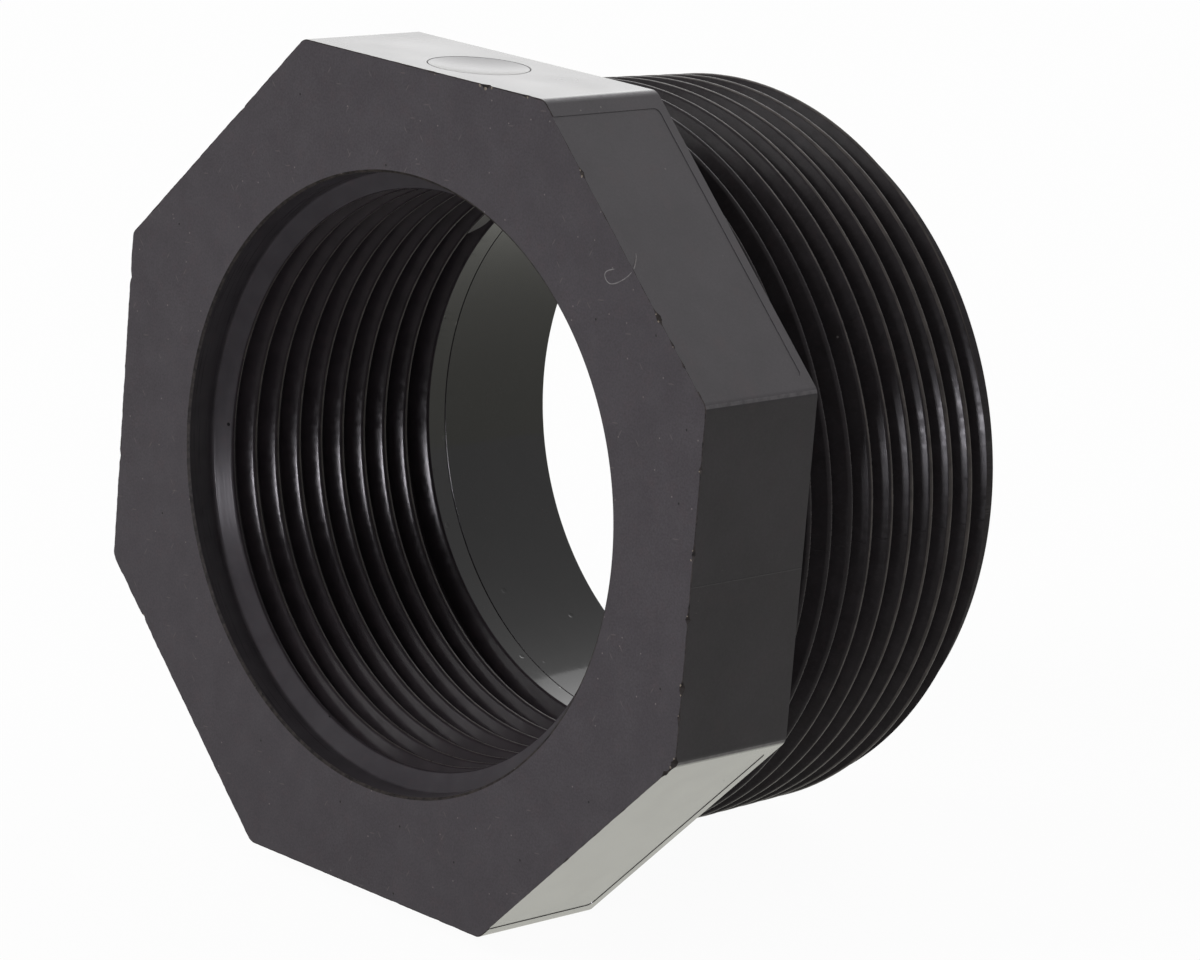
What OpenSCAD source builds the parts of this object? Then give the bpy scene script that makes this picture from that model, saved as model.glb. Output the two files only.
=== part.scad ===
// Threaded reducing bush for rigid plastic pipe: an octagonal head that holds a
// parallel female pipe thread, and a taper male pipe thread one size larger behind
// it. One moulded piece. Millimetres. The bore lies along Y, with the origin on its
// axis, halfway along: the head's face looks toward -Y and the male end toward +Y.

/* [Head] */
// Width across the octagon's flats
across_flats = 64.5; // [64:0.5:78]
// Length of the head along the bore
head_length = 11.8; // [10:0.2:18]
// Radius of the eight upright corners
corner_radius = 1; // [0.4:0.1:3]

/* [Moulding gate] */
// Diameter of the shallow gate dish on the top flat
dish_d = 8; // [6:0.5:9]
// Depth of the gate dish
dish_depth = 0.3; // [0.2:0.05:0.6]
// Distance of the dish's centre from the head's face
dish_from_face = 5.5; // [4.8:0.1:5.5]
// Distance of the dish's centre from the middle of its flat
dish_side = 0.5; // [-4:0.5:4]

/* [Male thread] */
// Major diameter where a ring gauge stops, at the gauge plane
male_gauge_d = 59.614; // [58:0.1:60.4]
// Distance from the small end to the gauge plane
male_gauge_length = 15.9; // [14:0.1:17]
// Length of the male end, from the head to the small end
male_length = 25.9; // [24:0.1:32]
// Length over which the diameter shrinks by one millimetre
male_taper_length = 16; // [16:1:40]
// Plain rim beyond the last turn
rim_length = 1.2; // [0.8:0.1:2.5]
// Diameter of that rim, which enters the mating thread first
rim_d = 55.9; // [55:0.1:56.3]
// Length of the bevel that starts the thread
start_bevel = 1.2; // [0.6:0.1:1.8]

/* [Female thread] */
// Minor diameter, over the crests
female_minor_d = 44.845; // [44:0.1:45.4]
// Distance from the head's face to the end of the last turn
female_end = 25; // [20:0.5:27]
// Diameter of the plain mouth that lets a male thread enter
mouth_d = 47.9; // [47.9:0.1:49.4]
// Depth of the plain mouth
mouth_depth = 3; // [2.4:0.1:5]
// Length of the sloped land between the mouth and the first turn
land_length = 0.5; // [0.4:0.1:1.6]
// Length of the slope that closes the last turn
female_runout = 1.2; // [0.6:0.1:1.8]
// Edge break round the mouth
mouth_bevel = 0.2; // [0.1:0.1:0.8]

/* [Bore] */
// How far the plain bore stays under the crests of the female thread
core_step = 0.08; // [0.08:0.02:0.6]
// Edge break at the far end of the bore
exit_bevel = 0.2; // [0.1:0.1:0.8]

/* [Thread form] */
// Pitch, eleven turns to the inch
pitch = 2.309; // [2.1:0.001:2.4]
// Angle between a flank and the plane across the bore
flank_angle = 27.5; // [27:0.5:30]
// Depth of the thread as a share of the pitch
depth_share = 0.6403; // [0.55:0.0001:0.66]
// Turn of the male thread about the bore, degrees
male_phase = 1; // [0:1:360]
// Turn of the female thread about the bore, degrees
female_phase = 317; // [0:1:360]

/* [Hidden] */
overall_length = head_length + male_length;
thread_depth = depth_share * pitch;
flank_run = thread_depth * tan(flank_angle);
half_flat = (pitch - 2 * flank_run) / 4;
female_minor_r = female_minor_d / 2;
bore_r = female_minor_r - core_step;
mouth_r = mouth_d / 2;
thread_stop = overall_length - rim_length;
rim_r = rim_d / 2;
root_bury = 0.6;
turn_steps = 48;
arc_steps = 5;
plastic = [0.235, 0.225, 0.24];

// One turn of the thread form, as [distance along the bore, height] from a root
form = [
    [-half_flat, 0],
    [half_flat, 0],
    [half_flat + flank_run, 1],
    [3 * half_flat + flank_run, 1]
];

// Root radius of the taper male thread at a distance from the head's face
function male_root_r(y) =
    male_gauge_d / 2 - thread_depth
    + (overall_length - male_gauge_length - y) / (2 * male_taper_length);

// A share from 0 to 1 that rises between two places
function rise(y, y0, y1) = max(0, min(1, (y - y0) / (y1 - y0)));

// Surface radius of each thread, at a distance along the bore and a form height
function male_r(y, height) =
    male_root_r(y) + thread_depth
    * min(height, 1 - rise(y, thread_stop - start_bevel, thread_stop));
function female_r(y, height) =
    let (land_end = mouth_depth + land_length)
    female_minor_r + thread_depth
    * min(
        height * rise(y, land_end - pitch / 4, land_end + pitch / 2),
        1 - rise(y, female_end - female_runout, female_end)
    );

function thread_r(male, y, height) = male ? male_r(y, height) : female_r(y, height);

// Solid screw along Z from z0 to z1: columns of points climb one pitch a turn
module screw(male, z0, z1, phase) {
    per_turn = len(form);
    turns = ceil((z1 - z0) / pitch) + 3;
    rows = turns * per_turn;
    base_z = z0 - 2 * pitch;
    points = concat(
        [for (i = [0:turn_steps - 1], k = [0:rows])
            let (
                turn = floor(k / per_turn),
                spot = form[k % per_turn],
                z = base_z + pitch * (turn + i / turn_steps) + spot[0],
                angle = -phase + 360 * i / turn_steps,
                r = thread_r(male, z, spot[1])
            )
            [r * cos(angle), r * sin(angle), z]],
        [[0, 0, base_z - pitch], [0, 0, base_z + pitch * (turns + 2)]]
    );
    low = turn_steps * (rows + 1);
    high = low + 1;
    function at(i, k) = i < turn_steps
        ? i * (rows + 1) + k
        : k + per_turn;
    last = rows - per_turn;
    sides = [for (i = [0:turn_steps - 1], k = [0:last - 1], half = [0, 1])
        half == 0
            ? [at(i, k), at(i, k + 1), at(i + 1, k + 1)]
            : [at(i, k), at(i + 1, k + 1), at(i + 1, k)]];
    floor_fan = concat(
        [for (i = [0:turn_steps - 1]) [low, at(i, 0), at(i + 1, 0)]],
        [for (k = [0:per_turn - 1]) [low, k + 1, k]]
    );
    roof_fan = concat(
        [for (i = [0:turn_steps - 1]) [high, at(i + 1, last), at(i, last)]],
        [for (k = [last:last + per_turn - 1]) [high, k, k + 1]]
    );
    intersection() {
        polyhedron(points = points, faces = concat(sides, floor_fan, roof_fan), convexity = 10);
        translate([0, 0, z0])
            cylinder(h = z1 - z0, r = across_flats);
    }
}

// Octagon with rounded corners, flats square to X and Y
module head_outline() {
    corner_reach = (across_flats / 2 - corner_radius) / cos(22.5);
    polygon([for (i = [0:7], j = [0:arc_steps])
        let (
            middle = 22.5 + 45 * i,
            swing = middle - 22.5 + 45 * j / arc_steps
        )
        corner_reach * [cos(middle), sin(middle)] + corner_radius * [cos(swing), sin(swing)]]);
}

module cavity() {
    rotate_extrude($fn = 96)
        polygon([
            [0, -1],
            [mouth_r + mouth_bevel + 1, -1],
            [mouth_r + mouth_bevel, 0],
            [mouth_r, mouth_bevel],
            [mouth_r, mouth_depth],
            [bore_r, mouth_depth + land_length],
            [bore_r, overall_length - exit_bevel],
            [bore_r + exit_bevel, overall_length],
            [bore_r + exit_bevel + 1, overall_length + 1],
            [0, overall_length + 1]
        ]);
}

module gate_dish() {
    translate([dish_side, -across_flats / 2 + dish_depth, dish_from_face])
        rotate([90, 0, 0])
            cylinder(h = 2, d = dish_d, $fn = 96);
}

module adapter_body() {
    color(plastic)
        rotate([-90, 0, 0])
            translate([0, 0, -overall_length / 2])
            difference() {
                union() {
                    linear_extrude(height = head_length)
                        head_outline();
                    screw(true, head_length - root_bury, thread_stop + rim_length / 4, male_phase);
                    translate([0, 0, thread_stop])
                        cylinder(h = rim_length, r = rim_r, $fn = 96);
                }
                cavity();
                screw(false, mouth_depth - root_bury, female_end, female_phase);
                gate_dish();
            }
}

adapter_body();
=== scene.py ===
import math

import bmesh
import bpy
from mathutils import Matrix, Vector, noise


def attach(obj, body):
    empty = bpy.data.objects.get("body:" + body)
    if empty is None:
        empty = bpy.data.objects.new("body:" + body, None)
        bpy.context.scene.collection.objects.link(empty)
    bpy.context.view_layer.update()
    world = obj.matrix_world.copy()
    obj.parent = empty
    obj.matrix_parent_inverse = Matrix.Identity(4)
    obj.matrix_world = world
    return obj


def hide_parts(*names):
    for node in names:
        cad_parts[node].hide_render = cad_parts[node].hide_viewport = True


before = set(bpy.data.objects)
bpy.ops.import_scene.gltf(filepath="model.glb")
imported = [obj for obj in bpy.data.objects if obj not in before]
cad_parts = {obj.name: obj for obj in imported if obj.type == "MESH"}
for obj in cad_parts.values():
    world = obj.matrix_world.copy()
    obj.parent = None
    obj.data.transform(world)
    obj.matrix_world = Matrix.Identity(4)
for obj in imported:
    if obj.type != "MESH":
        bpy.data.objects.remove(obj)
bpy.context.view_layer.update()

# The body is modelled on the bench in millimetres, with the bore along Z and the head's
# face at Z = 0 looking down, and is laid down and brought to metres at the end.

wholeLength = 37.7
millimetre = 0.001
mergeGap = 0.0005
threadForm = {"pitch": 2.309, "depth": 1.4785, "flank": 27.5, "rounding": 0.317, "arcSteps": 4}
pitch = threadForm["pitch"]
threadDepth = threadForm["depth"]


def clearSelection():
    if bpy.context.object and bpy.context.object.mode != "OBJECT":
        bpy.ops.object.mode_set(mode="OBJECT")
    bpy.ops.object.select_all(action="DESELECT")


def pick(piece):
    clearSelection()
    piece.select_set(True)
    bpy.context.view_layer.objects.active = piece


def editMode(piece, kind="VERT"):
    pick(piece)
    bpy.ops.object.mode_set(mode="EDIT")
    bpy.ops.mesh.select_mode(type=kind)
    bpy.ops.mesh.select_all(action="DESELECT")


def objectMode():
    bpy.ops.object.mode_set(mode="OBJECT")


def selectWhere(piece, test, kind="VERT"):
    # test gets a corner, or the middle of an edge or face
    mesh = bmesh.from_edit_mesh(piece.data)
    items = {"VERT": mesh.verts, "EDGE": mesh.edges, "FACE": mesh.faces}[kind]
    for item in items:
        if kind == "VERT":
            spot = item.co
        elif kind == "EDGE":
            spot = (item.verts[0].co + item.verts[1].co) / 2
        else:
            spot = item.calc_center_median()
        if test(spot, item):
            item.select_set(True)
    mesh.select_flush_mode()
    bmesh.update_edit_mesh(piece.data)


def applyPlace():
    bpy.ops.object.transform_apply(location=True, rotation=True, scale=True)


def useModifier(piece, kind, **values):
    pick(piece)
    step = piece.modifiers.new(kind.lower(), kind)
    for name, value in values.items():
        setattr(step, name, value)
    bpy.ops.object.modifier_apply(modifier=step.name)


def combine(piece, tool, operation):
    useModifier(piece, "BOOLEAN", operation=operation, object=tool, solver="MANIFOLD")
    bpy.data.objects.remove(tool)


def boxCutter(name, place, size):
    clearSelection()
    bpy.ops.mesh.primitive_cube_add(size=1, location=place)
    cutter = bpy.context.object
    cutter.name = name
    cutter.scale = size
    applyPlace()
    return cutter


def drawLine(name, points):
    # one point from a merged plane, pulled out along the line with extrude
    clearSelection()
    bpy.ops.mesh.primitive_plane_add(size=0.01, location=(0, 0, 0))
    line = bpy.context.object
    line.name = name
    bpy.ops.object.mode_set(mode="EDIT")
    bpy.ops.mesh.select_mode(type="VERT")
    bpy.ops.mesh.select_all(action="SELECT")
    bpy.ops.mesh.merge(type="CENTER")
    bpy.ops.transform.translate(value=points[0])
    for start, end in zip(points, points[1:]):
        step = Vector(end) - Vector(start)
        bpy.ops.mesh.extrude_region_move(TRANSFORM_OT_translate={"value": step})
    objectMode()
    return line


def turnedSolid(name, points, steps=256):
    # a lathe profile of (radius, height) that starts and ends on the axis
    piece = drawLine(name, [(r, 0, z) for r, z in points])
    editMode(piece)
    bpy.ops.mesh.select_all(action="SELECT")
    bpy.ops.mesh.spin(steps=steps, angle=math.tau, center=(0, 0, 0), axis=(0, 0, 1))
    bpy.ops.mesh.select_all(action="SELECT")
    bpy.ops.mesh.remove_doubles(threshold=mergeGap)
    bpy.ops.mesh.normals_make_consistent(inside=False)
    objectMode()
    return piece


def turnPiece(piece, degrees, axis="Z"):
    # with no window transform.rotate turns the other way, so the angle's sign is changed here
    editMode(piece)
    bpy.ops.mesh.select_all(action="SELECT")
    bpy.ops.transform.rotate(value=-math.radians(degrees), orient_axis=axis,
                             center_override=(0, 0, 0))
    objectMode()


def frontAngle(spot):
    # degrees round the bore seen from the front, from 0 at the right flat up over the top flat
    return math.degrees(math.atan2(-spot.y, spot.x)) % 360


def whitworthTurn():
    # one pitch of the rounded thread form as (height along the bore, rise above the root),
    # from the middle of one root to the middle of the next
    radius, steps = threadForm["rounding"], threadForm["arcSteps"]
    sweep = math.pi / 2 - math.radians(threadForm["flank"])
    root = []
    for i in range(steps + 1):
        swing = sweep * i / steps
        root.append((radius * math.sin(swing), radius * (1 - math.cos(swing))))
    crest = [(pitch / 2 - x, threadDepth - rise) for x, rise in reversed(root)]
    up = root + crest
    down = [(pitch - x, rise) for x, rise in reversed(up[:-1])]
    return up + down


def screwSolid(name, rootRadius, start, values):
    line = drawLine(name, [(rootRadius + rise, 0, start + z) for z, rise in whitworthTurn()])
    useModifier(line, "SCREW", axis="Z", angle=math.tau, screw_offset=pitch,
                iterations=values["turns"], steps=values["steps"], render_steps=values["steps"],
                use_merge_vertices=True, merge_threshold=mergeGap, use_smooth_shade=False)
    editMode(line)
    bpy.ops.mesh.select_all(action="SELECT")
    bpy.ops.mesh.remove_doubles(threshold=mergeGap)
    middle = start + pitch * (values["turns"] + 1) / 2
    for below in (True, False):
        # each open end is drawn in to one point on the axis
        bpy.ops.mesh.select_all(action="DESELECT")
        bpy.ops.mesh.select_mode(type="EDGE")
        selectWhere(line, lambda spot, edge: edge.is_boundary and (spot.z < middle) == below,
                    "EDGE")
        bpy.ops.mesh.extrude_region_move()
        bpy.ops.mesh.merge(type="CENTER")
    bpy.ops.mesh.select_all(action="SELECT")
    bpy.ops.mesh.normals_make_consistent(inside=False)
    objectMode()
    turnPiece(line, -values["turn"])
    return line


print("stage: head")
head = {"acrossFlats": 64.5, "length": 11.8, "cornerRadius": 1.0, "cornerSteps": 6,
        "frontEdge": 0.1, "backEdge": 0.14, "edgeCuts": 90, "faceWear": 0.04}
headLength = head["length"]
flatRadius = head["acrossFlats"] / 2

# unevenness is (size, scale); chips are (angle seen from the front, half width along the
# edge, depth)
wear = {"all": 0.07, "least": 0.02, "waves": (0.1, 0.9), "ripples": (0.04, 2.6),
        "chipRoughness": (0.8, 5), "chipFall": 2.6,
        "chips": ((77.4, 0.5, 0.26), (70.4, 0.3, 0.16), (88, 0.3, 0.08), (57.2, 0.45, 0.2),
                  (35.0, 0.6, 0.28), (31.1, 0.3, 0.16), (28.2, 0.3, 0.14), (15.2, 0.3, 0.16),
                  (4.4, 0.5, 0.14), (-4.2, 0.35, 0.2), (-13.3, 0.5, 0.26), (-17.1, 0.3, 0.14),
                  (-22.5, 0.5, 0.3), (-24.6, 0.4, 0.2), (-47, 0.3, 0.12), (-75, 0.3, 0.12),
                  (-148, 0.4, 0.16), (-171, 0.5, 0.12), (163, 0.4, 0.14), (128, 0.5, 0.12))}


def unevenness(spot, kind, seed):
    size, scale = wear[kind]
    return size * noise.noise(Vector((spot.x * scale, spot.y * scale, seed)))


def edgeWear(spot, seed):
    # how far the cutter and the knocks took the front edge back here
    angle = math.atan2(-spot.y, spot.x)
    taken = wear["all"] + max(0, unevenness(spot, "waves", seed))
    taken += unevenness(spot, "ripples", seed + 5)
    rough = 1 + unevenness(spot, "chipRoughness", seed + 9)
    for place, half, deep in wear["chips"]:
        turn = (angle - math.radians(place) + math.pi) % math.tau - math.pi
        share = turn * flatRadius / half
        taken += rough * deep * math.exp(-share ** 2 * wear["chipFall"])
    return max(wear["least"], taken)


clearSelection()
bpy.ops.mesh.primitive_cylinder_add(vertices=8, radius=flatRadius / math.cos(math.pi / 8),
                                    depth=headLength, location=(0, 0, headLength / 2),
                                    rotation=(0, 0, math.pi / 8))
body = bpy.context.object
body.name = "adapterBody"
applyPlace()
editMode(body, "EDGE")
selectWhere(body, lambda spot, edge: abs(edge.verts[0].co.z - edge.verts[1].co.z) > 1, "EDGE")
bpy.ops.mesh.bevel(offset=head["cornerRadius"] * math.tan(math.pi / 8),
                   segments=head["cornerSteps"], affect="EDGES")
for level, size in ((0, head["frontEdge"]), (headLength, head["backEdge"])):
    bpy.ops.mesh.select_all(action="DESELECT")
    selectWhere(body, lambda spot, edge: all(abs(v.co.z - level) < 0.001 for v in edge.verts),
                "EDGE")
    bpy.ops.mesh.bevel(offset=size, segments=1, affect="EDGES")
# the long front edges are cut into short ones and worn unevenly
bpy.ops.mesh.select_all(action="DESELECT")
selectWhere(body, lambda spot, edge: spot.z < 0.2 and edge.calc_length() > 2, "EDGE")
bpy.ops.mesh.subdivide(number_cuts=head["edgeCuts"])
mesh = bmesh.from_edit_mesh(body.data)
for corner in mesh.verts:
    if corner.co.z < 0.001:
        inward = edgeWear(corner.co, 1) - head["frontEdge"]
        corner.co.xy *= 1 - inward / corner.co.xy.length
    elif corner.co.z < 0.2:
        corner.co.z = edgeWear(corner.co, 7)
bmesh.update_edit_mesh(body.data)
objectMode()

# two slanted flats were moulded by inserts, a little lower than the flats round them
panel = {"turns": (-45, 45), "depth": 0.045, "low": -11.84, "high": 12.0, "end": 10.85,
         "cornerRadius": 0.5, "cornerSteps": 5}
for turn in panel["turns"]:
    low, high, end = panel["low"], panel["high"], panel["end"]
    place = (flatRadius - panel["depth"] + 0.5, (low + high) / 2, end / 2 - 0.5)
    cutter = boxCutter("panelCutter", place, (1, high - low, end + 1))
    editMode(cutter, "EDGE")
    selectWhere(cutter, lambda spot, edge: abs(edge.verts[0].co.x - edge.verts[1].co.x) > 0.5,
                "EDGE")
    bpy.ops.mesh.bevel(offset=panel["cornerRadius"], segments=panel["cornerSteps"],
                       affect="EDGES")
    objectMode()
    turnPiece(cutter, turn)
    combine(body, cutter, "DIFFERENCE")

# gate dish: a fine ring groove round a shallow lens
gate = {"radius": 3.97, "depth": 0.26, "groove": 0.12, "grooveFall": 0.8, "lensDrop": 0.01,
        "rings": 8, "steps": 96, "side": 0.5, "fromFace": 5.5}
radius, depth, groove = gate["radius"], gate["depth"], gate["groove"]
bowl = radius - groove
lens = (bowl ** 2 + depth ** 2) / (2 * depth)
points = [(0, 2), (radius, 2), (radius, 0), (radius - groove / 2, -groove * gate["grooveFall"])]
for i in range(gate["rings"] + 1):
    across = bowl * (1 - i / gate["rings"])
    fall = lens - depth - math.sqrt(lens ** 2 - across ** 2)
    points.append((across, fall - gate["lensDrop"]))
dish = turnedSolid("dishCutter", points, gate["steps"])
turnPiece(dish, 90, "X")
editMode(dish)
bpy.ops.mesh.select_all(action="SELECT")
bpy.ops.transform.translate(value=(gate["side"], -flatRadius, gate["fromFace"]))
objectMode()
combine(body, dish, "DIFFERENCE")

print("stage: male thread")
# the screw is cut down to a blank, whose end slopes in to the bevel that starts the thread
male = {"gaugeRadius": 29.807, "gaugeFromEnd": 15.9, "taper": 1 / 32, "start": 6.73, "turn": 1,
        "turns": 14, "steps": 192, "startBevel": 1.2, "blankRadius": 40, "blankSlope": 9,
        "buried": 0.6, "overlap": 0.3, "rimLength": 1.2, "rimRadius": 27.95, "rimEdge": 0.14,
        "rimFoot": 0.2, "scratches": ((10.9, 0.14), (0.7, 0.1)), "scratchDepth": 0.04,
        "scratchLength": 1.4}
middleRadius = male["gaugeRadius"] - threadDepth
threadStop = wholeLength - male["rimLength"]


def rootAt(z):
    return middleRadius + (wholeLength - male["gaugeFromEnd"] - z) * male["taper"]


screw = screwSolid("maleScrew", middleRadius, male["start"], male)
# the taper: a lattice as tall as the screw is drawn in at its top
low = min(v.co.z for v in screw.data.vertices)
high = max(v.co.z for v in screw.data.vertices)
clearSelection()
bpy.ops.object.add(type="LATTICE", location=(0, 0, (low + high) / 2))
cage = bpy.context.object
cage.data.points_u = cage.data.points_v = cage.data.points_w = 2
cage.data.interpolation_type_w = "KEY_LINEAR"
cage.scale = (male["blankRadius"] * 2, male["blankRadius"] * 2, high - low)
for point in cage.data.points:
    share = rootAt(low if point.co.z < 0 else high) / middleRadius
    point.co_deform = (point.co.x * share, point.co.y * share, point.co.z)
bpy.context.view_layer.update()
useModifier(screw, "LATTICE", object=cage)
bpy.data.objects.remove(cage)
stopRadius = rootAt(threadStop)
blankFoot, blankTop = headLength - male["buried"], threadStop + male["overlap"]
blank = turnedSolid("maleBlank", [
    (0, blankFoot), (male["blankRadius"], blankFoot),
    (male["blankRadius"], threadStop - male["blankSlope"]),
    (stopRadius + threadDepth, threadStop - male["startBevel"]),
    (stopRadius, threadStop), (stopRadius - 0.1, blankTop), (0, blankTop)])
combine(screw, blank, "INTERSECT")
combine(body, screw, "UNION")

rimRadius, rimEdge, rimFoot = male["rimRadius"], male["rimEdge"], male["rimFoot"]
rim = turnedSolid("rim", [
    (0, threadStop - rimFoot), (rimRadius - rimFoot, threadStop - rimFoot),
    (rimRadius, threadStop), (rimRadius, wholeLength - rimEdge),
    (rimRadius - rimEdge * 0.3, wholeLength - rimEdge * 0.3),
    (rimRadius - rimEdge, wholeLength), (0, wholeLength)])
combine(body, rim, "UNION")
for angle, width in male["scratches"]:
    place = (rimRadius + 0.5 - male["scratchDepth"], 0, wholeLength - male["rimLength"] / 2)
    scratch = boxCutter("scratchCutter", place, (1, width, male["scratchLength"]))
    turnPiece(scratch, -angle)
    combine(body, scratch, "DIFFERENCE")

print("stage: bore and female thread")
# angles are seen from the front, and heights that follow the thread are those at 180
# degrees; the mouth ends where the first flank begins, so its foot climbs with the thread
female = {"crestRadius": 22.4225, "boreStep": 0.04, "turn": 139.5, "turns": 12, "steps": 168,
          "mouthRadius": 23.95, "mouthEdge": 0.2, "footRadius": 23.91, "footDepth": 2.34,
          "footSlope": 0.3, "landFrom": 100, "landTo": 290, "lastCrest": 22.23,
          "shoulder": 24.5, "bandEnd": 26.22, "lineDepth": 0.07, "lineHeights": (0.03, 0.1, 0.14),
          "exitEdge": 0.2}
boreRadius = female["crestRadius"] - female["boreStep"]
mouth, mouthEdge, foot = female["mouthRadius"], female["mouthEdge"], female["footDepth"]
bandEnd, exitEdge = female["bandEnd"], female["exitEdge"]


def landDrift(spot):
    turn = frontAngle(spot)
    start, end = female["landFrom"], female["landTo"]
    if start <= turn <= end:
        return (180 - turn) / 360 * pitch
    # out of sight the land runs back to where it began
    share = ((turn - end) % 360) / (360 - end + start)
    return ((180 - end) + (end - start) * share) / 360 * pitch


lineRadius = boreRadius + female["lineDepth"]
lineLow, lineHigh, lineEnd = [bandEnd + height for height in female["lineHeights"]]
core = turnedSolid("core", [
    (0, -1), (mouth + mouthEdge + 1, -1), (mouth + mouthEdge, 0), (mouth, mouthEdge),
    (female["footRadius"], foot), (boreRadius, foot + female["footSlope"]),
    (boreRadius, bandEnd), (lineRadius, lineLow), (lineRadius, lineHigh), (boreRadius, lineEnd),
    (boreRadius, wholeLength - exitEdge), (boreRadius + exitEdge, wholeLength),
    (boreRadius + exitEdge + 1, wholeLength + 1), (0, wholeLength + 1)])
editMode(core)
mesh = bmesh.from_edit_mesh(core.data)
for corner in mesh.verts:
    if foot - 0.2 < corner.co.z < foot + 1:
        corner.co.z += landDrift(corner.co)
bmesh.update_edit_mesh(core.data)
objectMode()
combine(body, core, "DIFFERENCE")

# the last groove opens into a ring, whose narrow part runs from the angle fadeTo round to
# its round end at the angle start
ring = {"start": 139, "roundEnd": 3.5, "fadeFrom": 280, "fadeTo": 350, "edge": 23.6,
        "depth": 0.95, "rise": 0.9, "step": 0.1, "inside": 0.2, "drop": 0.2, "overCrest": 0.35,
        "lead": 0.77, "lip": (0.171, 0.28), "lipSteps": 4}
shoulder, ringLow, inside = female["shoulder"], female["lastCrest"], ring["inside"]
flankTilt = math.tan(math.radians(threadForm["flank"]))
rootRadius = female["crestRadius"] + threadDepth
farFoot = shoulder - ring["drop"] - threadDepth * flankTilt
screw = screwSolid("femaleScrew", female["crestRadius"],
                   female["lastCrest"] - female["turns"] * pitch, female)
blankTop = farFoot + (rootRadius - boreRadius + 1) * flankTilt
blank = turnedSolid("femaleBlank", [
    (0, 1), (rootRadius + 1, 1), (rootRadius + 1, farFoot - flankTilt),
    (boreRadius - 1, blankTop), (0, blankTop)])
combine(screw, blank, "INTERSECT")
combine(body, screw, "DIFFERENCE")

lipOut, lipDrop = ring["lip"]
ringLine = [(0, ringLow), (boreRadius - inside, ringLow), (boreRadius, ringLow + ring["step"]),
            (rootRadius, ringLow + ring["rise"]), (rootRadius, farFoot),
            (boreRadius + lipOut, shoulder - lipDrop)]
curve, lipSteps = threadForm["rounding"], ring["lipSteps"]
for i in range(1, lipSteps + 1):
    swing = math.radians(90 - threadForm["flank"]) * (1 - i / lipSteps)
    ringLine.append((boreRadius + curve * (1 - math.cos(swing)),
                     shoulder + 0.001 - curve * math.sin(swing)))
ringLine += [(boreRadius - inside, shoulder + ring["step"]), (0, shoulder + ring["step"])]
relief = turnedSolid("reliefRing", ringLine)
editMode(relief)
mesh = bmesh.from_edit_mesh(relief.data)
for corner in mesh.verts:
    across, turn = corner.co.xy.length, frontAngle(corner.co)
    if across < 1 or corner.co.z > shoulder - 0.3:
        continue
    crest = female["lastCrest"] - (turn - ring["start"]) % 360 / 360 * pitch
    fade = 1
    if turn > ring["start"]:
        fade = (turn - ring["fadeFrom"]) / (ring["fadeTo"] - ring["fadeFrom"])
        fade = min(1, max(0, fade))
    edge = (crest + ring["overCrest"]) * (1 - fade) + ring["edge"] * fade
    back = (ring["start"] - turn) / ring["roundEnd"]
    if 0 <= back < 1:
        fade = math.sqrt(1 - (1 - back) ** 2)
        edge = ringLow + (ring["edge"] - ringLow) * fade
    depth = threadDepth * (1 - fade) + ring["depth"] * fade
    if abs(corner.co.z - ringLow - ring["rise"]) < 0.01:
        corner.co.z = edge + ring["step"] + ring["lead"] * (1 - fade)
        corner.co.xy *= (female["crestRadius"] + depth) / across
    elif corner.co.z > ringLow + 1:
        corner.co.z = shoulder - ring["drop"] - depth * flankTilt
        corner.co.xy *= (female["crestRadius"] + depth) / across
    else:
        corner.co.z += edge - ringLow - ring["step"]
bmesh.update_edit_mesh(relief.data)
objectMode()
combine(body, relief, "DIFFERENCE")

print("stage: finish")
# where each zone lies on the body, finishes and painted light and shade alike: radii, and heights
# in the mouth above its foot
zone = {"flatsFrom": 31, "cornersFrom": 33, "cornerSpread": 6, "edgeFrom": 23.9, "edgeTo": 0.6,
        "threadFrom": 24.5, "grooveTo": 24.3, "grooveEnd": 27, "mouthFrom": 23.6,
        "mouthTop": 0.25, "landFrom": 22.3, "landTo": 23.85, "landTop": 1.15,
        "crestFrom": 1.2, "crestTo": 22.5, "maleSkin": 0.014, "femaleSkin": (0.02, 0.006)}


def onFlats(spot):
    return spot.z < headLength and spot.xy.length > zone["flatsFrom"]


def isSideFlat(spot, face):
    return abs(face.normal.x) > 0.9 and onFlats(spot)


def isUpperFlat(spot, face):
    return face.normal.y < -0.5 and abs(face.normal.x) > 0.5 and onFlats(spot)


def isLowerFlat(spot, face):
    return face.normal.y > 0.5 and onFlats(spot)


def isEdge(spot, face):
    onEdge = spot.z < zone["edgeTo"] and spot.xy.length > zone["edgeFrom"]
    return onEdge and -0.999 < face.normal.z < -0.2


def isFace(spot, face):
    return face.normal.z < -0.99 and spot.z < 0.01


def isMaleThread(spot, face):
    outside = spot.xy.length > zone["threadFrom"] and spot.z > headLength - 0.01
    return outside and abs(face.normal.z) < 0.999


def isGroove(spot, face):
    return spot.xy.length < zone["grooveTo"] and mouthEdge < spot.z < zone["grooveEnd"]


def isMouth(spot, face):
    around = zone["mouthFrom"] < spot.xy.length < zone["grooveTo"]
    top = foot + zone["mouthTop"] + landDrift(spot)
    return around and mouthEdge < spot.z < top and face.normal.z < 0.1


def isLand(spot, face):
    around = zone["landFrom"] < spot.xy.length < zone["landTo"]
    top = foot + zone["landTop"] + landDrift(spot)
    return around and 0.5 < spot.z < top and face.normal.z < -0.5


def isCrest(spot, face):
    across = spot.xy.length
    if headLength + 0.3 < spot.z < threadStop:
        if across > rootAt(spot.z) + threadDepth - zone["maleSkin"]:
            return True
    below, above = zone["femaleSkin"]
    high = foot + zone["crestFrom"] < spot.z < zone["crestTo"]
    return high and female["crestRadius"] - below < across < female["crestRadius"] + above


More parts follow.
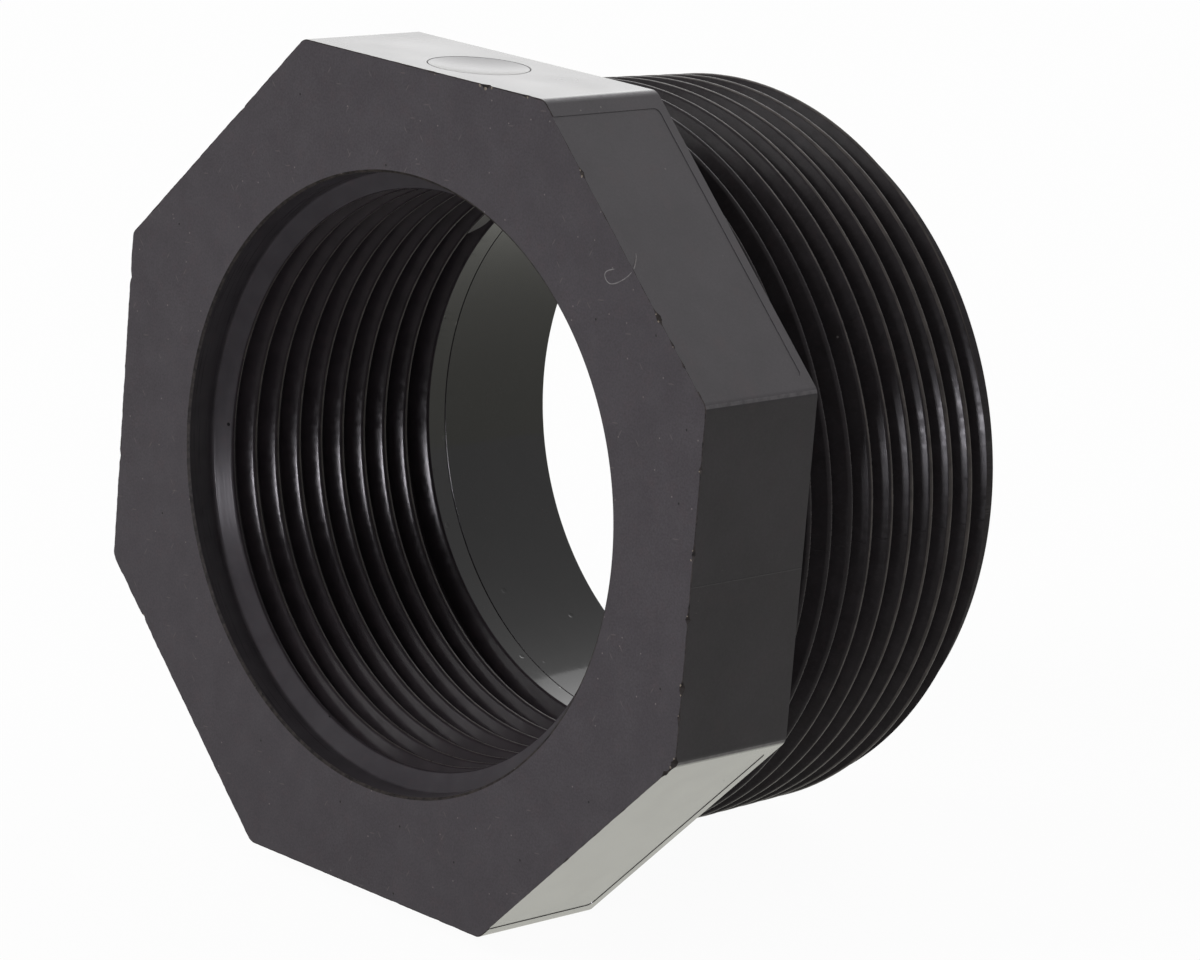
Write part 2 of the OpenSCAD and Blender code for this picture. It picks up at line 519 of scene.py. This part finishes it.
def isCorner(spot, face):
    aslant = math.degrees(math.atan2(face.normal.y, face.normal.x)) % 45 - 22.5
    outside = spot.xy.length > zone["cornersFrom"] and abs(face.normal.z) < 0.1
    return outside and abs(aslant) < zone["cornerSpread"]


def isBand(spot, face):
    return spot.xy.length < boreRadius + 0.01 and shoulder - 0.01 < spot.z


def isBore(spot, face):
    # near the far end the broken edge belongs to it too
    spare = 0.01 if spot.z < 30 else 1
    return spot.xy.length < boreRadius + spare and bandEnd + 0.1 < spot.z


# a later zone, finish or painted light and shade alike, takes its faces from an earlier one
zoneTests = {
    "flatPlastic": lambda spot, face: True,
    "sideFlatShadedPlastic": isSideFlat,
    "upperFlatLitPlastic": isUpperFlat,
    "lowerFlatPlastic": isLowerFlat,
    "edgePlastic": isEdge,
    "facePlastic": isFace,
    "threadPlastic": isMaleThread,
    "groovePlastic": isGroove,
    "mouthPlastic": isMouth,
    "landLitPlastic": isLand,
    "crestHighlightPlastic": isCrest,
    "cornerHighlightPlastic": isCorner,
    "bandShadedPlastic": isBand,
    "boreShadedPlastic": isBore,
}
zones = list(zoneTests)
body.data.materials.clear()
for name in zones:
    body.data.materials.append(bpy.data.materials.new(name))
editMode(body, "FACE")
body.active_material_index = 0
bpy.ops.mesh.select_all(action="SELECT")
bpy.ops.mesh.remove_doubles(threshold=0.0002)
bpy.ops.object.material_slot_assign()
for name, test in zoneTests.items():
    bpy.ops.mesh.select_all(action="DESELECT")
    selectWhere(body, test, "FACE")
    body.active_material_index = zones.index(name)
    bpy.ops.object.material_slot_assign()
bpy.ops.mesh.select_all(action="DESELECT")
# the face is worn a little below the box, which leaves room for the dust on it
selectWhere(body, lambda spot, corner: spot.z < 0.001)
bpy.ops.transform.translate(value=(0, 0, head["faceWear"]))
bpy.ops.mesh.select_all(action="SELECT")
bpy.ops.transform.translate(value=(0, 0, -wholeLength / 2))
bpy.ops.transform.resize(value=(millimetre,) * 3, center_override=(0, 0, 0))
objectMode()
body.rotation_euler = (-math.pi / 2, 0, 0)
pick(body)
applyPlace()
bpy.ops.object.shade_smooth_by_angle(angle=math.radians(34))
useModifier(body, "WEIGHTED_NORMAL", keep_sharp=True, weight=60)
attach(body, "root")
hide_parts("adapter_body")

print("stage: dust and crumbs")
# a fibre lies over the upper right edge, and crumbs of burr hang on the front edge; their
# places are in millimetres as the part lies
fibre = {"radius": 0.045,
         "path": ((22.95, -17.77, 22.6), (23.24, -17.95, 22.32), (23.6, -18.41, 22.02),
                  (23.93, -18.78, 21.74), (23.41, -18.8, 21.09), (22.55, -18.8, 20.5),
                  (21.55, -18.8, 20.05), (20.96, -18.8, 20.59), (21.03, -18.8, 21.07),
                  (21.93, -18.8, 21.35))}
thread = drawLine("dustFibre", fibre["path"])
useModifier(thread, "SUBSURF", levels=2)
bpy.ops.object.convert(target="CURVE")
thread.data.bevel_depth = fibre["radius"]
thread.data.bevel_resolution = 1
thread.data.use_fill_caps = True
bpy.ops.object.convert(target="MESH")

# crumbs are (angle seen from the front, distance in from the edge, size)
crumbs = {"radius": 0.8, "roughness": 0.35, "depth": 18.8, "stretch": (0.75, 0.25, 0.95),
          "places": ((78.56, 0.02, 0.17), (77.45, 0.12, 0.2), (76.4, 0.01, 0.14),
                     (70.1, 0.05, 0.13), (87.2, 0.12, 0.08), (56.9, 0.12, 0.15),
                     (57.6, 0.02, 0.1), (34.6, 0.14, 0.12), (35.6, 0.04, 0.09),
                     (30.8, 0.08, 0.08), (15.0, 0.1, 0.09), (4.9, 0.08, 0.1),
                     (3.6, 0.14, 0.12), (-3.8, 0.06, 0.09), (-12.9, 0.1, 0.13),
                     (-14.1, 0.03, 0.1), (-16.7, 0.1, 0.08), (-21.9, 0.12, 0.12),
                     (-23.2, 0.06, 0.14), (-148.4, 0.1, 0.12))}
clearSelection()
bpy.ops.mesh.primitive_ico_sphere_add(subdivisions=2, radius=1)
crumb = bpy.context.object
for corner in crumb.data.vertices:
    lump = noise.noise(corner.co * 1.3 + Vector((3, 1, 2)))
    corner.co *= crumbs["radius"] + crumbs["roughness"] * lump
grains = []
for number, (place, inward, size) in enumerate(crumbs["places"]):
    pick(crumb)
    bpy.ops.object.duplicate()
    grain = bpy.context.object
    fromFlat = math.radians(place - round(place / 45) * 45)
    reach = (flatRadius - inward - crumbs["radius"] * size) / math.cos(fromFlat)
    swing = math.radians(place)
    grain.location = (reach * math.cos(swing), -crumbs["depth"], reach * math.sin(swing))
    grain.rotation_euler = (0, number * 2.1, 0)
    grain.scale = [size * stretch for stretch in crumbs["stretch"]]
    grains.append(grain)
bpy.data.objects.remove(crumb)
clearSelection()
for grain in grains:
    grain.select_set(True)
bpy.context.view_layer.objects.active = grains[0]
bpy.ops.object.join()
crumb = bpy.context.object
crumb.name = "edgeCrumbs"
applyPlace()
for piece in (thread, crumb):
    editMode(piece)
    bpy.ops.mesh.select_all(action="SELECT")
    bpy.ops.mesh.remove_doubles(threshold=0.001)
    bpy.ops.mesh.normals_make_consistent(inside=False)
    bpy.ops.transform.resize(value=(millimetre,) * 3, center_override=(0, 0, 0))
    objectMode()
    pick(piece)
    bpy.ops.object.shade_smooth()
    finish = "fibreDust" if piece is thread else "burrPlastic"
    piece.data.materials.clear()
    piece.data.materials.append(bpy.data.materials.new(finish))
    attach(piece, "root")

print("stage: materials")


class Wires:
    # a short way to add and join the nodes of one material or world
    def __init__(self, owner):
        owner.use_nodes = True
        self.tree = owner.node_tree
        self.shader = self.tree.nodes.get("Principled BSDF")

    def node(self, kind, **values):
        node = self.tree.nodes.new("ShaderNode" + kind)
        for name, value in values.items():
            setattr(node, name, value)
        return node

    def join(self, socket, value):
        if isinstance(value, bpy.types.NodeSocket):
            self.tree.links.new(value, socket)
        else:
            socket.default_value = value

    def add(self, kind, inputs, **values):
        node = self.node(kind, **values)
        for name, value in inputs.items():
            self.join(node.inputs[name], value)
        return node.outputs[0]

    def maths(self, operation, first, second=0.0, clamp=False):
        return self.add("Math", {0: first, 1: second}, operation=operation, use_clamp=clamp)

    def span(self, value, low, high, toLow=0.0, toHigh=1.0):
        return self.add("MapRange", {"Value": value, "From Min": low, "From Max": high,
                                     "To Min": toLow, "To Max": toHigh})

    def mix(self, share, first, second):
        # a mix node's colours are its inputs 6 and 7, and its mixed colour is output 2
        node = self.node("Mix", data_type="RGBA")
        for number, value in ((0, share), (6, first), (7, second)):
            self.join(node.inputs[number], value)
        return node.outputs[2]

    def millimetres(self, scale=(1, 1, 1), turn=(0, 0, 0)):
        place = self.node("TexCoord").outputs["Object"]
        scale = tuple(s / millimetre for s in scale)
        return self.add("Mapping", {"Vector": place, "Rotation": turn, "Scale": scale})

    def noise(self, place, scale, detail=3.0, rough=0.5):
        return self.add("TexNoise", {"Vector": place, "Scale": scale, "Detail": detail,
                                     "Roughness": rough})

    def dots(self, place, scale, size, keep, plane=False):
        # small round spots in a few of the cells
        node = self.node("TexVoronoi", voronoi_dimensions="2D" if plane else "3D")
        self.join(node.inputs["Vector"], place)
        node.inputs["Scale"].default_value = scale
        cell = self.add("SeparateColor", {"Color": node.outputs["Color"]})
        spot = self.span(node.outputs["Distance"], size, size * 0.6)
        return self.maths("MULTIPLY", spot, self.maths("LESS_THAN", cell, keep))


# rough is the middle and swing the width of the roughness; mottle, grain and bump are the
# scales and height of the skin; dust and pits are (scale, size, share of the cells)
looks = {
    "facePlastic": {
        "light": (0.0565, 0.05, 0.057), "dark": (0.049, 0.043, 0.0495),
        "rough": 0.52, "swing": 0.12, "specular": 0.13, "mottle": 0.45, "grain": 5.0,
        "bump": 0.006, "speckle": 0.14, "strokes": 0.2,
        "dust": (0.45, 0.038, 0.22), "pits": (0.3, 0.035, 0.15)},
    "edgePlastic": {
        "light": (0.045, 0.038, 0.035), "dark": (0.011, 0.0095, 0.0095),
        "rough": 0.6, "swing": 0.2, "specular": 0.05, "mottle": 2.2, "grain": 4.0,
        "bump": 0.02, "dust": (1.2, 0.16, 0.35), "pits": (0.6, 0.1, 0.3)},
    "flatPlastic": {
        "light": (0.046, 0.042, 0.045), "dark": (0.036, 0.033, 0.036),
        "rough": 0.26, "swing": 0.05, "specular": 0.5, "mottle": 0.12, "grain": 0.12,
        "bump": 0.003, "dust": (0.25, 0.03, 0.1), "pits": (0.15, 0.03, 0.1)},
    # painted shade: the two side flats are the same plastic as the other flats, painted darker
    # for the shade on them
    "sideFlatShadedPlastic": {
        "light": (0.038, 0.0345, 0.0385), "dark": (0.031, 0.0285, 0.0315),
        "rough": 0.4, "swing": 0.1, "specular": 0.15, "mottle": 0.2, "grain": 2.5,
        "bump": 0.002, "speckle": 0.08, "strokes": 0.1,
        "dust": (0.45, 0.045, 0.3), "pits": (0.2, 0.03, 0.08)},
    # painted light: the two slanted upper flats are the same plastic as the other flats, painted
    # lighter for the light falling on them from above
    "upperFlatLitPlastic": {
        "light": (0.056, 0.0495, 0.056), "dark": (0.046, 0.0405, 0.046),
        "rough": 0.34, "swing": 0.08, "specular": 0.35, "mottle": 0.2, "grain": 2.5,
        "bump": 0.002, "speckle": 0.08, "strokes": 0.08,
        "dust": (0.45, 0.045, 0.25), "pits": (0.2, 0.03, 0.08)},
    "lowerFlatPlastic": {
        "light": (0.044, 0.042, 0.04), "dark": (0.038, 0.036, 0.034),
        "rough": 0.22, "swing": 0.06, "specular": 0.8, "coat": 0.66, "mottle": 0.2,
        "grain": 0.3, "bump": 0.003, "dust": (0.25, 0.03, 0.1), "pits": (0.15, 0.04, 0.15)},
    "threadPlastic": {
        "light": (0.035, 0.031, 0.0335), "dark": (0.028, 0.0245, 0.0265),
        "rough": 0.25, "swing": 0.2, "specular": 0.042, "mottle": 0.6, "bump": 0.004,
        "dust": (0.25, 0.03, 0.15), "pits": (0.2, 0.03, 0.1)},
    "groovePlastic": {
        "light": (0.04, 0.0335, 0.038), "dark": (0.032, 0.0265, 0.0305),
        "rough": 0.18, "swing": 0.12, "specular": 0.05, "mottle": 0.5, "grain": 2.0,
        "bump": 0.003, "dust": (0.2, 0.02, 0.06), "pits": (0.3, 0.04, 0.1)},
    "mouthPlastic": {
        "light": (0.048, 0.043, 0.048), "dark": (0.038, 0.034, 0.038),
        "rough": 0.3, "swing": 0.08, "specular": 0.1, "mottle": 0.5, "bump": 0.0005,
        "dust": (0.3, 0.03, 0.15), "pits": (0.35, 0.06, 0.25)},
    # painted light: the land is the same plastic as the mouth and the grooves, painted lighter
    # for the front light that falls on it
    "landLitPlastic": {
        "light": (0.068, 0.0625, 0.069), "dark": (0.058, 0.053, 0.059),
        "rough": 0.22, "swing": 0.14, "specular": 0.015, "mottle": 0.5, "bump": 0.002,
        "dust": (0.35, 0.04, 0.2), "pits": (0.35, 0.06, 0.25)},
    # painted shade: the plain band behind the relief ring is painted much darker than the rest of
    # the plastic, for the shade inside the bore
    "bandShadedPlastic": {
        "light": (0.017, 0.0158, 0.0158), "dark": (0.013, 0.0122, 0.012),
        "rough": 0.1, "swing": 0.05, "specular": 0.32, "mottle": 0.3, "grain": 1.5,
        "bump": 0.002, "dust": (0.2, 0.03, 0.1), "pits": (0.45, 0.11, 0.45)},
    # painted highlight: the crest tops of both threads are painted lighter than the thread
    # plastic, for the light their rounded edges catch
    "crestHighlightPlastic": {
        "light": (0.08, 0.071, 0.067), "dark": (0.045, 0.04, 0.039),
        "rough": 0.34, "swing": 0.16, "specular": 0.08, "mottle": 0.8, "grain": 2.0,
        "bump": 0.002, "dust": (0.35, 0.04, 0.2), "pits": (0.35, 0.05, 0.2)},
    # painted highlight: the rounded corners between the flats are painted lighter than the flats,
    # for the light they catch
    "cornerHighlightPlastic": {
        "light": (0.105, 0.098, 0.105), "dark": (0.06, 0.055, 0.06),
        "rough": 0.35, "swing": 0.1, "specular": 0.3, "mottle": 1.5, "grain": 2.0,
        "bump": 0.003, "dust": (0.35, 0.04, 0.2), "pits": (0.35, 0.06, 0.25)},
    # painted shade: the plain bore behind the thread is painted much darker than the rest of the
    # plastic, for the shade inside it
    "boreShadedPlastic": {
        "light": (0.012, 0.0108, 0.011), "dark": (0.0085, 0.0077, 0.0078),
        "rough": 0.06, "swing": 0.03, "specular": 0.28, "mottle": 0.3, "grain": 1.5,
        "bump": 0.0015, "dust": (0.2, 0.03, 0.1), "pits": (0.3, 0.08, 0.35)},
    "burrPlastic": {
        "light": (0.3, 0.25, 0.19), "dark": (0.1, 0.08, 0.06),
        "rough": 0.6, "swing": 0.2, "specular": 0.3, "mottle": 6.0, "grain": 9.0,
        "bump": 0.01, "dust": (2.0, 0.1, 0.2), "pits": (2.0, 0.1, 0.2)},
    "fibreDust": {
        "light": (0.21, 0.2, 0.2), "dark": (0.12, 0.115, 0.115),
        "rough": 0.7, "swing": 0.2, "specular": 0.3, "mottle": 3.0, "grain": 9.0,
        "bump": 0.005, "dust": (2.0, 0.1, 0.2), "pits": (2.0, 0.05, 0.05)},
}
marks = {"warm": (1.1, 0.96, 0.95), "pit": (0.006, 0.006, 0.006, 1), "pitDepth": 0.02,
         "dust": (0.22, 0.2, 0.19, 1), "dustShare": 0.6, "dustRough": 0.4,
         "stroke": (0.16, 0.14, 0.13, 1), "strokeShare": 0.3, "strokeWidth": 0.05,
         "strokeTurns": ((0.7, 0.0), (-0.5, 7.0), (1.7, 13.0)), "line": (0.02, 0.07),
         "lineHeight": 0.02, "coatRough": 0.2}


def skinGrain(wires, name, place):
    # the fine relief that each surface's tool left
    if name == "threadPlastic":
        # marks of the cutter run along the bore, across the crests
        return wires.noise(wires.millimetres((1, 0.12, 1)), 2.2, 3.0, 0.6)
    if name in ("mouthPlastic", "landLitPlastic"):
        # fine rings left by the core, round the mouth and the land
        split = wires.node("SeparateXYZ")
        wires.join(split.inputs[0], place)
        across = wires.node("VectorMath", operation="LENGTH")
        wires.join(across.inputs[0], wires.millimetres((1, 0, 1)))
        slow = wires.maths("MULTIPLY", split.outputs["Z"], 0.03)
        rings = wires.add("CombineXYZ", {0: across.outputs["Value"], 1: split.outputs["Y"],
                                         2: slow})
        return wires.noise(rings, 7.0, 2.0, 0.6)
    return wires.noise(place, looks[name]["grain"], 2.0)


def paint(name, look):
    wires = Wires(bpy.data.materials[name])
    shader = wires.shader
    place = wires.millimetres()
    # the face's spots are drawn in its own plane
    plane = name == "facePlastic"
    spotPlace = wires.millimetres(turn=(math.pi / 2, 0, 0)) if plane else place
    mottle = wires.span(wires.noise(place, look["mottle"], 4.0), 0.35, 0.65)
    colour = wires.mix(mottle, look["dark"] + (1,), look["light"] + (1,))
    warm = wires.span(wires.noise(place, look["mottle"] * 2.3, 2.0), 0.55, 0.8, 0, 0.5)
    warmTone = tuple(c * k for c, k in zip(look["light"], marks["warm"])) + (1,)
    colour = wires.mix(warm, colour, warmTone)
    scale, size, keep = look["pits"]
    pits = wires.dots(spotPlace, scale, size, keep, plane)
    colour = wires.mix(pits, colour, marks["pit"])
    scale, size, keep = look["dust"]
    dust = wires.dots(spotPlace, scale * 1.13, size, keep, plane)
    colour = wires.mix(wires.maths("MULTIPLY", dust, marks["dustShare"]), colour, marks["dust"])
    if "speckle" in look:
        # fine unevenness of the moulded skin
        spread = look["speckle"]
        fine = wires.span(wires.noise(place, 6.0, 2.0), 0.3, 0.7, 1 - spread, 1 + spread)
        fine = wires.add("CombineXYZ", {0: fine, 1: fine, 2: fine})
        colour = wires.add("VectorMath", {0: colour, 1: fine}, operation="MULTIPLY")
    if "strokes" in look:
        # short light scratches at three slants
        for turn, shift in marks["strokeTurns"]:
            slanted = wires.add("Mapping", {"Vector": spotPlace, "Rotation": (0, 0, turn)})
            slanted = wires.add("Mapping", {"Vector": slanted, "Scale": (1, 0.16, 1),
                                            "Location": (shift, shift, 0)})
            stroke = wires.dots(slanted, 0.9, marks["strokeWidth"], look["strokes"], plane)
            share = wires.maths("MULTIPLY", stroke, marks["strokeShare"])
            colour = wires.mix(share, colour, marks["stroke"])
    wires.join(shader.inputs["Base Color"], colour)
    grain = skinGrain(wires, name, place)
    low, high = look["rough"] - look["swing"] / 2, look["rough"] + look["swing"] / 2
    rough = wires.span(grain, 0.3, 0.7, low, high)
    duller = wires.maths("MULTIPLY", dust, marks["dustRough"])
    wires.join(shader.inputs["Roughness"], wires.maths("ADD", rough, duller, True))
    shader.inputs["Specular IOR Level"].default_value = look["specular"]
    shader.inputs["Coat Weight"].default_value = look.get("coat", 0.0)
    shader.inputs["Coat Roughness"].default_value = marks["coatRough"]
    height = wires.maths("SUBTRACT", wires.maths("MULTIPLY", grain, look["bump"]),
                         wires.maths("MULTIPLY", pits, marks["pitDepth"]))
    if name in ("sideFlatShadedPlastic", "threadPlastic"):
        # the mould's parting line, level with the bore on both sides
        split = wires.node("SeparateXYZ")
        wires.join(split.inputs[0], place)
        away = wires.maths("ABSOLUTE", split.outputs["Z"])
        line = wires.span(away, marks["line"][0], marks["line"][1], 1, 0)
        height = wires.maths("ADD", height, wires.maths("MULTIPLY", line, marks["lineHeight"]))
    bump = wires.add("Bump", {"Height": height, "Distance": millimetre, "Strength": 1.0})
    wires.join(shader.inputs["Normal"], bump)


for name, look in looks.items():
    paint(name, look)

print("stage: floor, light and camera")
# the part rests on the head's lower back edge and on the thread, so the floor meets both
headEdge = Vector((0, headLength - wholeLength / 2, -flatRadius)) * millimetre
slopes = [(corner.co.z - headEdge.z) / (corner.co.y - headEdge.y)
          for corner in body.data.vertices if corner.co.y > 0.002 and corner.co.z < -0.02]
tip = math.atan(min(slopes))
print("tip:", round(math.degrees(tip), 2))
clearSelection()
bpy.ops.mesh.primitive_plane_add(size=30)
floor = bpy.context.object
floor.name = "floor"
floor.rotation_euler = (tip, 0, 0)
floor.location = headEdge - Vector((0, 0, 0.0001))

# the camera, gloss and glass see the floor and the world nearly white; light does not
floorLook = {"colour": (0.82, 0.82, 0.82, 1), "rough": 0.9, "glow": 0.96,
             "mirrored": (1.0, 1.0, 0.92, 1)}
floorPaint = bpy.data.materials.new("floorPaint")
wires = Wires(floorPaint)
wires.shader.inputs["Base Color"].default_value = floorLook["colour"]
wires.shader.inputs["Roughness"].default_value = floorLook["rough"]
rays = wires.node("LightPath").outputs
mirrored = wires.maths("MAXIMUM", rays["Is Glossy Ray"], rays["Is Transmission Ray"])
tone = wires.mix(mirrored, (1, 1, 1, 1), floorLook["mirrored"])
glow = wires.add("Emission", {"Color": tone, "Strength": 1.0})
seen = wires.maths("MULTIPLY", rays["Is Camera Ray"], floorLook["glow"])
share = wires.maths("MAXIMUM", seen, mirrored)
blend = wires.add("MixShader", {0: share, 1: wires.shader.outputs[0], 2: glow})
wires.join(wires.tree.nodes["Material Output"].inputs["Surface"], blend)
floor.data.materials.append(floorPaint)

studio = {"fill": 0.22, "white": 1.0, "colour": (1, 1, 1, 1)}
world = bpy.data.worlds.new("studio")
bpy.context.scene.world = world
wires = Wires(world)
sky = wires.tree.nodes["Background"]
rays = wires.node("LightPath").outputs
seen = wires.maths("MAXIMUM", rays["Is Camera Ray"], rays["Is Glossy Ray"])
seen = wires.maths("MAXIMUM", seen, rays["Is Transmission Ray"])
level = wires.span(seen, 0.0, 1.0, studio["fill"], studio["white"])
wires.join(sky.inputs["Strength"], level)
sky.inputs["Color"].default_value = studio["colour"]

# mirrored and spread say whether a lamp shows in gloss and lights the plastic itself
lamps = {
    "keyLamp": {"from": (-0.45, -0.85, 0.7), "size": (0.6, 0.6), "power": 6.8},
    "topLamp": {"from": (0.15, 0.45, 1.0), "size": (0.7, 0.7), "power": 3.2,
                "mirrored": False},
    "backLamp": {"from": (-0.65, 0.95, 0.5), "size": (1.1, 0.75), "power": 3.3},
    "lowLamp": {"from": (0.17, -0.74, 0.02), "size": (0.28, 0.12), "power": 16,
                "spread": False, "tint": (0.95, 0.92, 1.0)},
}
for name, values in lamps.items():
    clearSelection()
    bpy.ops.object.light_add(type="AREA", location=values["from"])
    lamp = bpy.context.object
    lamp.name = name
    lamp.data.shape = "RECTANGLE"
    lamp.data.size, lamp.data.size_y = values["size"]
    lamp.data.energy = values["power"]
    lamp.data.color = values.get("tint", (1, 1, 1))
    lamp.visible_glossy = values.get("mirrored", True)
    lamp.visible_diffuse = values.get("spread", True)
    lamp.rotation_euler = (-Vector(values["from"])).to_track_quat("-Z", "Y").to_euler()

view = {"place": (0.26965, -0.26950, 0.09289), "right": (0.713172, 0.695825, 0.084928),
        "up": (-0.215280, 0.102109, 0.971199), "back": (0.667113, -0.710915, 0.222619),
        "sensor": 36, "lens": 149.33, "shift": (-0.10777, -0.06668), "near": 0.01, "far": 60}
clearSelection()
bpy.ops.object.camera_add()
camera = bpy.context.object
turned = Matrix((view["right"], view["up"], view["back"])).transposed().to_4x4()
camera.matrix_world = Matrix.Translation(view["place"]) @ turned
camera.data.sensor_width = view["sensor"]
camera.data.sensor_fit = "HORIZONTAL"
camera.data.lens = view["lens"]
camera.data.shift_x, camera.data.shift_y = view["shift"]
camera.data.clip_start, camera.data.clip_end = view["near"], view["far"]
bpy.context.scene.camera = camera
bpy.context.scene.view_settings.view_transform = "Standard"
